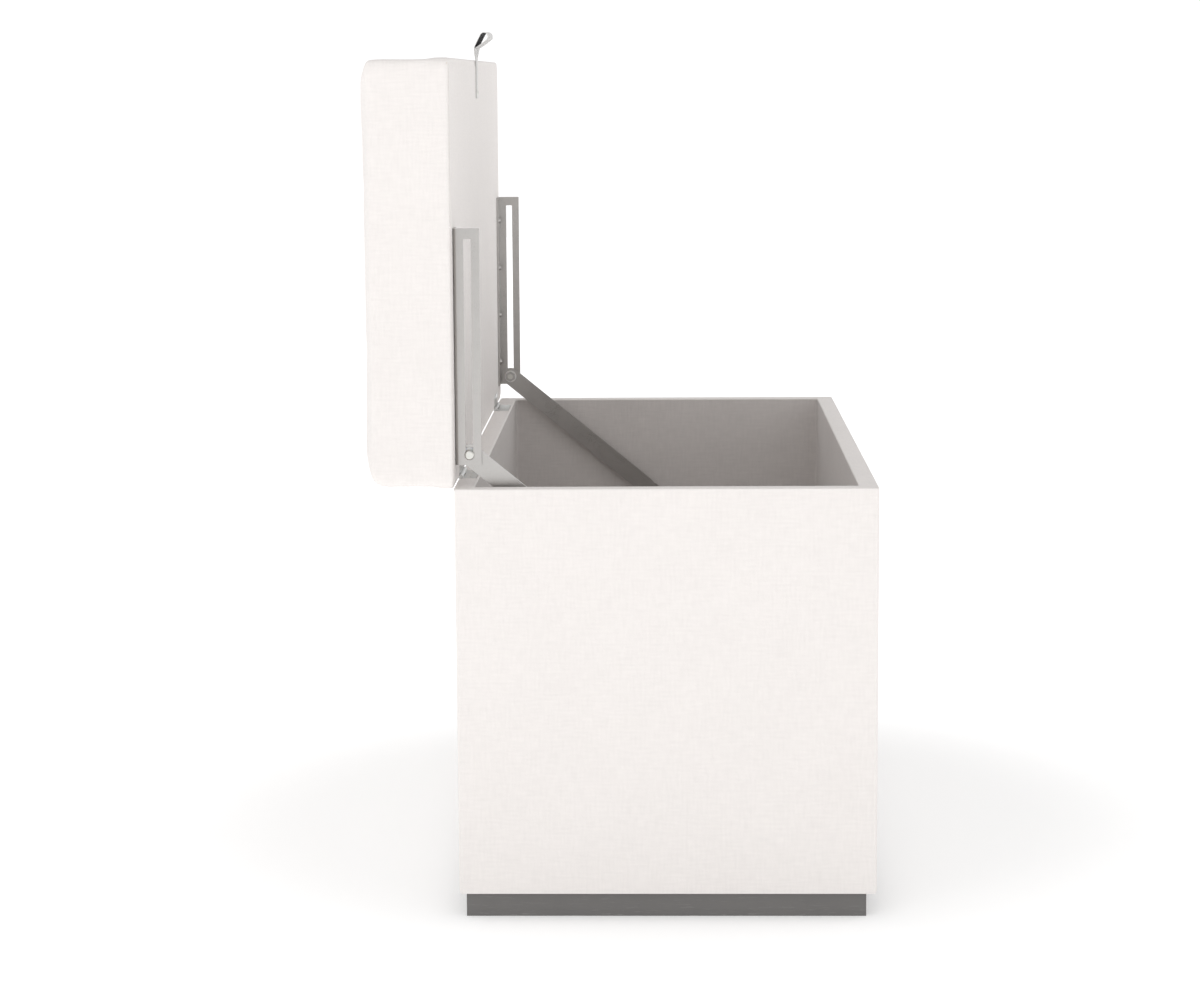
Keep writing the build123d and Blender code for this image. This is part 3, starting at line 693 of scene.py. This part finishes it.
def blow_up(piece, pinned, pressure, cap, side_share):
    """Swell a closed mesh with pressure while some of it stays pinned, and cap each move.

    Only a share of each sideways move is kept, because the cover is tight round the ends.
    """
    rest = [corner.co.copy() for corner in piece.data.vertices]
    held = piece.vertex_groups.new(name="held")
    held.add([corner.index for corner in piece.data.vertices if pinned(corner.co)], 1.0, "REPLACE")
    cloth = piece.modifiers.new("cloth", "CLOTH")
    cloth.settings.use_pressure = True
    cloth.settings.uniform_pressure_force = pressure
    cloth.settings.effector_weights.gravity = 0
    cloth.settings.quality = 5
    cloth.settings.vertex_group_mass = "held"
    cloth.point_cache.frame_start = 1
    cloth.point_cache.frame_end = LAST_FRAME
    for number in range(1, LAST_FRAME + 1):
        bpy.context.scene.frame_set(number)
    bpy.context.view_layer.objects.active = piece
    bpy.ops.object.modifier_apply(modifier="cloth")
    for corner, before in zip(piece.data.vertices, rest):
        move = corner.co - before
        move *= min(1.0, cap / max(move.length, cap))
        corner.co = before + Vector((move.x * side_share, move.y, move.z * side_share))
    bpy.context.scene.frame_set(1)
    piece.vertex_groups.clear()


modify(cushion, "REMESH", mode="VOXEL", voxel_size=VOXEL)
blow_up(cushion, lambda place: place.y < CUSHION_START + PIN_DEPTH, PRESSURE, CAP, SIDE_SHARE)
modify(cushion, "SUBSURF", levels=1, render_levels=1)

# %% Seat cushion: back to the real size
RIPPLE, FINE_RIPPLE = 0.0005, 0.0002
highest = max(corner.co.y for corner in cushion.data.vertices)
pin_top = CUSHION_START + PIN_DEPTH
for corner in cushion.data.vertices:
    above = max(0.0, corner.co.y - pin_top) / (highest - pin_top)
    ripple = noise.noise(corner.co * 22) * RIPPLE + noise.noise(corner.co * 60) * FINE_RIPPLE
    corner.co.y += above * (lid_high.y - highest) - above * abs(ripple)
size_now = [max(corner.co[axis] for corner in cushion.data.vertices)
            - min(corner.co[axis] for corner in cushion.data.vertices) for axis in range(3)]
print("cushion size", [round(side, 4) for side in size_now])

# %% [markdown]
# ## Crisp edge at the board
#
# The remesh has melted the edge where the cover turns under the board. It is put back: a few cuts
# give the edge enough rows of faces, and each point near it moves onto a slab with that small
# radius. The slab is described by a distance, which is negative inside it, so the way to its
# surface is against the distance's slope.

# %% Seat cushion: crisp edge at the board
lid_middle = (lid_low + lid_high) / 2
lid_half = (lid_high - lid_low) / 2
EDGE_ROWS = (0.0007, 0.0018, 0.0035)
PRESS_DEPTH = 0.012


def outside(first, second, radius):
    """Distance from a rounded corner of two walls, from the distances past each wall."""
    first, second = first + radius, second + radius
    return Vector((max(first, 0.0), max(second, 0.0))).length + min(max(first, second), 0.0) - radius


def past_slab(place):
    """How far a place is outside the board's end of the cushion."""
    past_end = abs(place.x - lid_middle.x) - lid_half.x
    past_side = abs(place.z - lid_middle.z) - lid_half.z
    plan = outside(past_end, past_side, END_ROUND)
    return outside(plan, CUSHION_START - place.y, BOARD_ROUND)


def onto_slab(place):
    """The nearest place on the slab's surface, by three steps against the slope."""
    probe = 0.00005
    for _ in range(3):
        here = past_slab(place)
        aside = [Vector([probe * (axis == other) for other in range(3)]) for axis in range(3)]
        slope = Vector([(past_slab(place + move) - here) / probe for move in aside])
        place = place - slope.normalized() * here
    return place


def press_onto_slab():
    """Move each point near the board's edge onto the slab, fading out up the sides."""
    for corner in cushion.data.vertices:
        depth = corner.co.y - CUSHION_START
        if depth < PIN_DEPTH and past_slab(corner.co) > -PRESS_DEPTH:
            keep = min(1.0, max(0.0, (PIN_DEPTH - depth) / (PIN_DEPTH / 2)))
            corner.co = corner.co.lerp(onto_slab(corner.co), keep)


press_onto_slab()
bpy.context.view_layer.objects.active = cushion
bpy.ops.object.mode_set(mode="EDIT")
for row in EDGE_ROWS:
    cut_across((0, CUSHION_START + row, 0), (0, 1, 0))
    for hand in (-1, 1):
        cut_across((hand * (lid_half.x - row), 0, 0), (1, 0, 0))
        cut_across((0, 0, lid_middle.z + hand * (lid_half.z - row)), (0, 0, 1))
done()
press_onto_slab()
near_end = [corner.co for corner in cushion.data.vertices if corner.co.x < lid_low.x + PRESS_DEPTH]
print("near end reaches", round(max(place.z for place in near_end), 4), "up and",
      round(max(place.y for place in near_end), 4), "back")

# %% Seat cushion: hand over
lay_weave(cushion)
hand_over(cushion, "lid", cover_cloth, "cover_fabric", "seat_cover")

# %% [markdown]
# ## Foam block
#
# The foam itself is out of sight inside the cover, but a library part can be taken apart, so it is
# a real block with its own open-celled finish: cut square, slightly crowned, and softened along
# its edges where the cover presses on it.

# %% Foam block
foam_low, foam_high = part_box("seat_foam")
FOAM_INSET = 0.006
FOAM_CROWN = 0.003


def fullness(place, middle, half):
    """1 half way along a side, falling to 0 at its ends."""
    share = (place - middle) / half
    return 1 - share * share


block_low = foam_low + Vector((FOAM_INSET, 0, FOAM_INSET))
block_high = foam_high - Vector((FOAM_INSET,) * 3)
block = start("foam_block", block_low, block_high)
cut_evenly((foam_low.x, 0, 0), (foam_high.x, 0, 0), 0.04, (1, 0, 0))
cut_evenly((0, 0, foam_low.z), (0, 0, foam_high.z), 0.04, (0, 0, 1))
pick("EDGE", lambda middle, along: near(middle.y, foam_high.y - FOAM_INSET) and (
    near(middle.z, foam_low.z + FOAM_INSET) or near(middle.z, foam_high.z - FOAM_INSET)
    or near(abs(middle.x), foam_high.x - FOAM_INSET)))
bevel(0.014, 5)
done()
outward(block)
foam_middle = (foam_low + foam_high) / 2
foam_half = (foam_high - foam_low) / 2
for corner in block.data.vertices:
    if corner.co.y > foam_middle.y:
        full = fullness(corner.co.x, foam_middle.x, foam_half.x)
        full = full * fullness(corner.co.z, foam_middle.z, foam_half.z)
        corner.co.y -= FOAM_CROWN * (1 - full)
hand_over(block, "lid", foam, "foam", "seat_foam")

# %% [markdown]
# ## A sheet that follows an outline
#
# The box's cover and its lining are both sheets that run round a rectangle with rounded corners.
# Such a sheet starts as a flat plate. Its corners are rounded, its face is taken out, and the
# outline that is left is extruded ring by ring. Each new ring moves its four corners outwards, so
# the corner radius stays the same, as when cloth is folded round a box.

# %% A sheet that follows an outline
CORNER_ROUND = 0.0042
FABRIC = 0.0012


def spread(half_x, half_y, height):
    """Move the selected ring's four corners so that it has these half sizes and this height."""
    shape = bmesh.from_edit_mesh(bpy.context.object.data)
    ring = [corner for corner in shape.verts if corner.select]
    widest = [max(abs(corner.co[axis]) for corner in ring) for axis in (0, 1)]
    for corner in ring:
        corner.co.x += (half_x - widest[0]) * (1 if corner.co.x > 0 else -1)
        corner.co.y += (half_y - widest[1]) * (1 if corner.co.y > 0 else -1)
        corner.co.z = height
    bmesh.update_edit_mesh(bpy.context.object.data)


def ring_sheet(name, rings):
    """A sheet through a list of rings, each a half length, a half depth and a height."""
    half_x, half_y, height = rings[0]
    piece = start(name, (-half_x, -half_y, height), (half_x, half_y, height), "plane")
    bpy.ops.mesh.select_all(action="SELECT")
    bevel(CORNER_ROUND, 6, "VERTICES")
    bpy.ops.mesh.select_all(action="SELECT")
    bpy.ops.mesh.delete(type="ONLY_FACE")
    bpy.ops.mesh.select_all(action="SELECT")
    for ring in rings[1:]:
        bpy.ops.mesh.extrude_edges_move()
        spread(*ring)
    bpy.ops.mesh.select_all(action="SELECT")
    bpy.ops.mesh.normals_make_consistent(inside=False)
    return piece


def fold(first, corner, last, radius, steps=4):
    """Points of a rounded fold in a ring list: from one flat to the next, round the corner."""
    first, corner, last = Vector(first), Vector(corner), Vector(last)
    before = corner + (first - corner).normalized() * radius
    after = corner + (last - corner).normalized() * radius
    centre = before + after - corner
    points = []
    for step in range(steps + 1):
        turn = pi / 2 * step / steps
        points.append(centre + (before - centre) * cos(turn) + (after - centre) * sin(turn))
    return points


# %% [markdown]
# ## Box cover
#
# One length of the woven fabric goes round the four boards and turns in under the box as a hem. It
# is glued to flat boards, so it has no folds, only soft corners. The rings start at the hem's inner
# edge, run outwards under the box, round the lower fold and up to just under the rim. The two
# hinge knuckles need a small notch at the rear, and the rear upper edge stands out by a hair, which
# narrows the line of light under the open lid.

# %% Box cover
cover_low, cover_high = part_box("box_cover")
hem_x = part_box("base_cloth")[1].x
hinge_boxes = [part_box(f"hinge_base_leaf_{side}") for side in ("left", "right")]
HEM_FOLD = 0.0018
POCKET_GAP = 0.0005
KNUCKLE_NOTCH = 0.0006
REAR_FULLNESS = 0.0008


def rings_from(points, reach_x, reach_y):
    """Rings from points whose x is how far in from the outside, and whose y is a height."""
    return [(reach_x - point[0], reach_y - point[1], point[2]) for point in points]


def in_hinge_pocket(place):
    """Whether a place along the bench is where a hinge is let in."""
    return any(low.x - POCKET_GAP < place.x < high.x + POCKET_GAP for low, high in hinge_boxes)


def cut_beside_hinges():
    """Cuts across the bench at the two ends of each hinge pocket."""
    for low, high in hinge_boxes:
        cut_across((low.x - POCKET_GAP, 0, 0), (1, 0, 0))
        cut_across((high.x + POCKET_GAP, 0, 0), (1, 0, 0))


hem_in = cover_high.x - hem_x
lower_fold = fold((hem_in, hem_in, cover_low.z), (0, 0, cover_low.z), (0, 0, cover_high.z), HEM_FOLD)
wrap_points = [(hem_in, hem_in, cover_low.z), *lower_fold, (0, 0, cover_high.z)]
wrap = ring_sheet("box_wrap", rings_from(wrap_points, cover_high.x, cover_high.y))
cut_beside_hinges()
cut_across((0, 0, cover_high.z - KNUCKLE_NOTCH), (0, 0, 1))
remove("FACE", lambda middle, facing: middle.y > cover_high.y - 0.001 and in_hinge_pocket(middle)
       and middle.z > cover_high.z - KNUCKLE_NOTCH)
done()
modify(wrap, "SOLIDIFY", thickness=FABRIC, offset=-1, use_even_offset=True)
for corner in wrap.data.vertices:
    if corner.co.y > cover_high.y - FABRIC / 2 and corner.co.z > cover_high.z - KNUCKLE_NOTCH / 2:
        corner.co.y += REAR_FULLNESS
lay_weave(wrap)
hand_over(wrap, "base", cover_cloth, "cover_fabric", "box_cover")

# %% [markdown]
# ## Lining and rim
#
# The walls are lined inside, and the same sheet folds outwards over the top of the boards as the
# rim, with a short lip that meets the cover. The folds are soft. Where a hinge leaf is let into the
# rear rim, the fabric is cut away. The lining is the cover's fabric, so the rim's faces get the
# cover's finish, and the walls and the floor get a darker copy of it, which is painted shade for the
# inside of the box.

# %% Lining and rim
lining_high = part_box("box_lining")[1]
floor_low, floor_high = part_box("floor_lining")
leaf_front = min(low.y for low, high in hinge_boxes) - POCKET_GAP
wall_in = lining_high.x - floor_high.x
rim_top = lining_high.z
inner_fold = fold((wall_in, wall_in, 0), (wall_in, wall_in, rim_top), (0, 0, rim_top), 0.0014)
outer_fold = fold((wall_in, wall_in, rim_top), (0, 0, rim_top), (0, 0, 0), 0.0010)
lining_points = [(wall_in, wall_in, floor_low.z), *inner_fold, *outer_fold, (0, 0, rim_top - FABRIC)]
lining = ring_sheet("box_lining_cloth", rings_from(lining_points, lining_high.x, lining_high.y))
cut_beside_hinges()
cut_across((0, leaf_front, 0), (0, 1, 0))
remove("FACE", lambda middle, facing: middle.y > leaf_front and in_hinge_pocket(middle)
       and middle.z > rim_top - 2 * FABRIC)
done()
lining.data.materials.append(lining_cloth)
lining.data.materials.append(cover_cloth)
# The rim's faces get the cover's finish; the walls keep the darker copy, which is painted shade.
for face in lining.data.polygons:
    face.material_index = int(face.center.z > rim_top - 0.0013)
modify(lining, "SOLIDIFY", thickness=FABRIC, offset=-1, use_even_offset=True)
lay_weave(lining)
hand_over(lining, "base", lining_cloth, "lining_fabric", "box_lining")

# %% [markdown]
# ## Flat cloths
#
# Three flat cloths close the bench: the lining on its floor, the cloth under the lid's board and
# the black cloth under the box. Each is a sheet cut into a grid, so that its outline can be notched
# round the pieces that stand through it and its face can sag or lift a little.


# %% Flat cloths: one helper
def flat_cloth(name, low, high, thickness, step, holes=(), lift=None):
    """A level sheet from its top face down, with rectangular holes and a small lift at each point."""
    piece = start(name, (low.x, low.y, high.z), (high.x, high.y, high.z), "plane")
    cut_evenly((low.x, 0, 0), (high.x, 0, 0), step, (1, 0, 0))
    cut_evenly((0, low.y, 0), (0, high.y, 0), step, (0, 1, 0))
    for left, right, front, rear in holes:
        for edge in (left, right):
            cut_across((edge, 0, 0), (1, 0, 0))
        for edge in (front, rear):
            cut_across((0, edge, 0), (0, 1, 0))
    for left, right, front, rear in holes:
        remove("FACE", lambda middle, facing: left < middle.x < right and front < middle.y < rear)
    bpy.ops.mesh.select_all(action="SELECT")
    bpy.ops.mesh.normals_make_consistent(inside=False)
    done()
    for corner in piece.data.vertices:
        if lift:
            corner.co.z += lift(corner.co)
    up = sum(face.normal.z * face.area for face in piece.data.polygons)
    modify(piece, "SOLIDIFY", thickness=thickness, offset=-1 if up > 0 else 1)
    return piece


# %% Floor lining
floor_cloth = flat_cloth(
    "floor_lining_cloth", floor_low, floor_high, FABRIC * 0.9, 0.03,
    lift=lambda place: -0.0001 - 0.0001 * noise.noise(place * 30))
outward(floor_cloth)
lay_weave(floor_cloth)
# The floor of the box also gets the darker copy of the cover's fabric, as painted shade.
hand_over(floor_cloth, "base", lining_cloth, "lining_fabric", "floor_lining")

# %% Dust cloth under the box
dust_low, dust_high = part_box("base_cloth")
rail_low, rail_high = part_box("plinth_rail")
blocks_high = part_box("plinth_blocks")[1]
block_side = 0.034
DUST_CLOTH = 0.0005
block_holes = []
blocks_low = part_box("plinth_blocks")[0]
for end_x in ((blocks_low.x, blocks_low.x + block_side), (blocks_high.x - block_side, blocks_high.x)):
    for end_y in ((blocks_low.y, blocks_low.y + block_side), (blocks_high.y - block_side, blocks_high.y)):
        block_holes.append((*end_x, *end_y))
dust_cloth = flat_cloth(
    "dust_cloth", dust_low, dust_high, DUST_CLOTH, 0.02,
    holes=[(rail_low.x, rail_high.x, dust_low.y - 0.01, dust_high.y + 0.01), *block_holes],
    lift=lambda place: -0.0004 * (1 + noise.noise(place * 18)) * 0.5)
outward(dust_cloth)
lay_weave(dust_cloth)
hand_over(dust_cloth, "base", black_cloth, "base_cloth", "base_cloth")

# %% [markdown]
# ## Cloth under the lid
#
# This one stands upright while the lid is open. It is made lying down like the others and then
# turned a quarter about the hinge side, before its place is applied. It has a notch round each
# hinge leaf, and its edge is turned under, so the border is a touch thicker than the middle.

# %% Cloth under the lid
under_low, under_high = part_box("underside_cloth")
lid_leaves = [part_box(f"hinge_lid_leaf_{side}") for side in ("left", "right")]
UNDER_CLOTH = 0.0006
BORDER = 0.012


def lying(place):
    """The lid's upright place as it lies while the sheet is made: its height becomes a depth."""
    return Vector((place.x, place.z, place.y))


leaf_holes = [(low.x - POCKET_GAP, high.x + POCKET_GAP, under_low.z - 0.01, high.z + POCKET_GAP)
              for low, high in lid_leaves]
under_cloth = flat_cloth(
    "lid_underside_cloth", lying(under_low), lying(under_high), UNDER_CLOTH, 0.03,
    holes=leaf_holes)
for corner in under_cloth.data.vertices:
    inside = min(corner.co.x - under_low.x, under_high.x - corner.co.x,
                 corner.co.y - under_low.z, under_high.z - corner.co.y)
    from_top = under_low.y + (0.0 if inside < BORDER else 0.0001)
    thickness = UNDER_CLOTH if corner.co.z < under_high.y - UNDER_CLOTH / 2 else 0.0
    corner.co = Vector((corner.co.x, from_top + thickness, corner.co.y))
outward(under_cloth)
lay_weave(under_cloth)
hand_over(under_cloth, "lid", cover_cloth, "cover_fabric", "underside_cloth")

# %% [markdown]
# ## Pull tab
#
# A short woven tape opens the lid. Its two ends are tacked flat under the lid's free edge, and the
# middle makes a small teardrop loop that leans forward. The tape is one strip, so it is modelled as
# one: a narrow plate extruded step by step along its route, up one side, round the loop and back
# down the other side, and then given its thickness. Above the lid it is twisted a little, as a
# soft tape is, which turns the inside of the loop towards the end of the bench; that inside gets a
# near-black finish as painted shade.

# %% Pull tab
tab_low, tab_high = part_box("pull_tab")
TAPE = 0.0006
NECK = 0.012
LOOP_LEAN = radians(42)
LOOP_LENGTH = 0.021
LOOP_ROUND = 0.0045
tape_middle = lid_low.y - 0.0007
neck_top = lid_high.z + NECK
loop_ahead = Vector((0, -sin(LOOP_LEAN), cos(LOOP_LEAN)))
loop_aside = Vector((0, cos(LOOP_LEAN), sin(LOOP_LEAN)))
neck_end = Vector((0, tape_middle, neck_top))


def tape_side(hand):
    """Places up one layer of the tape, from its tacked end to the start of the loop."""
    layer = tape_middle + hand * (TAPE / 2 + 0.00005)
    tail = [Vector((0, layer, tab_low.z + (neck_top - tab_low.z) * step / 12)) for step in range(12)]
    reach = LOOP_LENGTH - LOOP_ROUND
    flank = [neck_end + loop_ahead * (reach * share) + loop_aside * (hand * LOOP_ROUND * share ** 0.8)
             for share in (0.06, 0.2, 0.35, 0.5, 0.65, 0.8, 0.92)]
    return tail + flank


top_of_loop = []
for step in range(9):
    turn = pi / 2 - pi * step / 8
    top_of_loop.append(neck_end + loop_ahead * (LOOP_LENGTH - LOOP_ROUND + LOOP_ROUND * cos(turn))
                       + loop_aside * (LOOP_ROUND * sin(turn)))
route = tape_side(1) + top_of_loop + tape_side(-1)[::-1]
first, second = route[0], route[1]
bpy.ops.mesh.primitive_plane_add(size=1, location=(0, 0, 0))
tape = bpy.context.object
tape.name = "pull_tape"
tape.scale = Vector((tab_high.x - tab_low.x, (second - first).length, 1))
tape.rotation_euler = (pi / 2, 0, 0)
tape.location = (first + second) / 2
bpy.ops.object.transform_apply(location=True, rotation=True, scale=True)
bpy.ops.object.mode_set(mode="EDIT")
pick("EDGE", lambda middle, along: abs(along.x) > 0.9 and near(middle.z, second.z, 0.0001))
for here, there in zip(route[1:], route[2:]):
    bpy.ops.mesh.extrude_edges_move(TRANSFORM_OT_translate={"value": there - here})
done()
TWIST = radians(-13)
for corner in tape.data.vertices:
    share = min(1.0, max(0.0, (corner.co.z - lid_high.z) / NECK))
    turned = Matrix.Rotation(TWIST * share, 3, "Z") @ Vector((corner.co.x, corner.co.y - tape_middle, 0))
    corner.co.x, corner.co.y = turned.x, turned.y + tape_middle
modify(tape, "SOLIDIFY", thickness=TAPE, offset=0, use_even_offset=True)
outward(tape)

# %% Pull tab: its map and finish
along_tape = [0.0]
for here, there in zip(route, route[1:]):
    along_tape.append(along_tape[-1] + (there - here).length)
layer = tape.data.uv_layers.get(WEAVE_MAP) or tape.data.uv_layers.new(name=WEAVE_MAP)
for loop in tape.data.loops:
    place = tape.data.vertices[loop.vertex_index].co
    nearest = min(range(len(route)), key=lambda spot: (Vector((0, place.y, place.z)) - route[spot]).length)
    layer.data[loop.index].uv = (along_tape[nearest], place.x)
tape.data.materials.append(grey_tape)
tape.data.materials.append(painted_shade_tape)
# The inner faces of the loop above the neck get the near-black finish, as painted shade inside the loop.
loop_middle = neck_end + loop_ahead * (LOOP_LENGTH * 0.6)
for face in tape.data.polygons:
    inside = face.normal.dot(loop_middle - face.center) > 0 and abs(face.normal.x) < 0.6
    face.material_index = int(inside and face.center.z > neck_top)
hand_over(tape, "lid", grey_tape, "tab_strap", "pull_tab")
print("tape length", round(along_tape[-1], 4))
